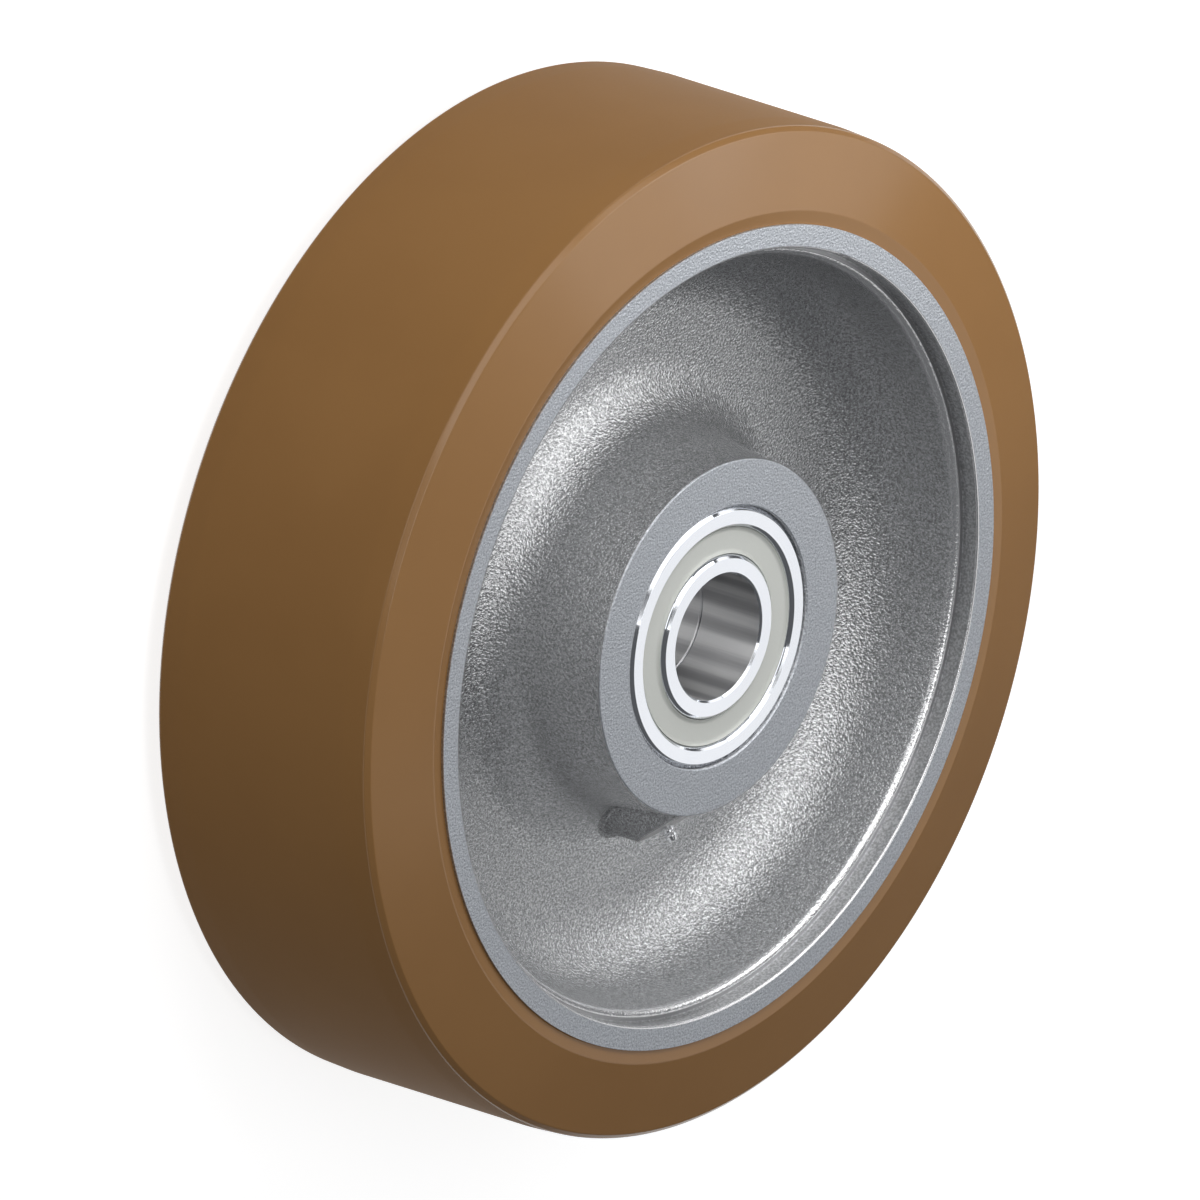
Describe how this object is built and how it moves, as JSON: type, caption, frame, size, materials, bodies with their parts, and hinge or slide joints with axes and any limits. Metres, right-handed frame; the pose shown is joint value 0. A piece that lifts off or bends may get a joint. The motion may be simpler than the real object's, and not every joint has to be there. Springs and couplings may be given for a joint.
{
  "type": "industrial wheel",
  "caption": "Heavy-duty industrial wheel with a brown cast polyurethane tread on a dished cast-iron centre, sealed ball bearings and a grease nipple.",
  "frame": {"origin": "centre of the wheel, on its axis and midway between its two ends", "axes": "+Z along the axle towards the end with the grease boss, which faces up as the wheel lies on its other end; -Y from the hub towards the grease boss; +X completes the right-handed frame"},
  "size_m": [0.2, 0.2, 0.06],
  "materials": {
    "polyurethane": "smooth satin brown cast polyurethane",
    "painted_casting": "silver lacquer over grained sand-cast iron",
    "bearing_steel": "ground bearing steel, mirror bright",
    "bright_steel": "turned bright steel tube",
    "polished_steel": "polished steel balls",
    "shield_steel": "matt warm grey coated sheet steel",
    "cage_steel": "pressed mild steel strip",
    "plated_steel": "bright zinc plated steel"
  },
  "bodies": {
    "axle_sleeve": {"spacer_tube": "bright_steel", "front_inner_ring": "bearing_steel", "rear_inner_ring": "bearing_steel"},
    "wheel": {"tread": "polyurethane", "wheel_centre": "painted_casting", "front_outer_ring": "bearing_steel", "rear_outer_ring": "bearing_steel", "front_shield": "shield_steel", "rear_shield": "shield_steel", "grease_nipple_body": "plated_steel", "grease_nipple_spring": "plated_steel"},
    "front_cage": {"front_cage_outer_half": "cage_steel", "front_cage_inner_half": "cage_steel", "front_cage_rivets": "cage_steel", "front_ball_1": "polished_steel", "front_ball_2": "polished_steel", "front_ball_3": "polished_steel", "front_ball_4": "polished_steel", "front_ball_5": "polished_steel", "front_ball_6": "polished_steel", "front_ball_7": "polished_steel", "front_ball_8": "polished_steel", "front_ball_9": "polished_steel"},
    "rear_cage": {"rear_cage_outer_half": "cage_steel", "rear_cage_inner_half": "cage_steel", "rear_cage_rivets": "cage_steel", "rear_ball_1": "polished_steel", "rear_ball_2": "polished_steel", "rear_ball_3": "polished_steel", "rear_ball_4": "polished_steel", "rear_ball_5": "polished_steel", "rear_ball_6": "polished_steel", "rear_ball_7": "polished_steel", "rear_ball_8": "polished_steel", "rear_ball_9": "polished_steel"},
    "nipple_valve": {"grease_nipple_ball": "polished_steel"}
  },
  "joints": [
    {"name": "wheel_spin", "type": "hinge", "parent": "axle_sleeve", "child": "wheel", "pos_m": [0, 0, 0], "axis": [0, 0, 1], "continuous": true},
    {"name": "front_cage_spin", "type": "hinge", "parent": "axle_sleeve", "child": "front_cage", "pos_m": [0, 0, 0.0225], "axis": [0, 0, 1], "continuous": true},
    {"name": "rear_cage_spin", "type": "hinge", "parent": "axle_sleeve", "child": "rear_cage", "pos_m": [0, 0, -0.0225], "axis": [0, 0, 1], "continuous": true},
    {"name": "nipple_ball_slide", "type": "slide", "parent": "wheel", "child": "nipple_valve", "axis": [0, 0.8028, -0.5962], "range_m": [0, 0.0004], "stiffness_N_per_m": 500, "springref_m": -0.0005, "deforming": ["grease_nipple_spring"]}
  ],
  "couplings": [
    {"joint": "front_cage_spin", "follows": "wheel_spin", "ratio": 0.60309},
    {"joint": "rear_cage_spin", "follows": "wheel_spin", "ratio": 0.60309}
  ]
}
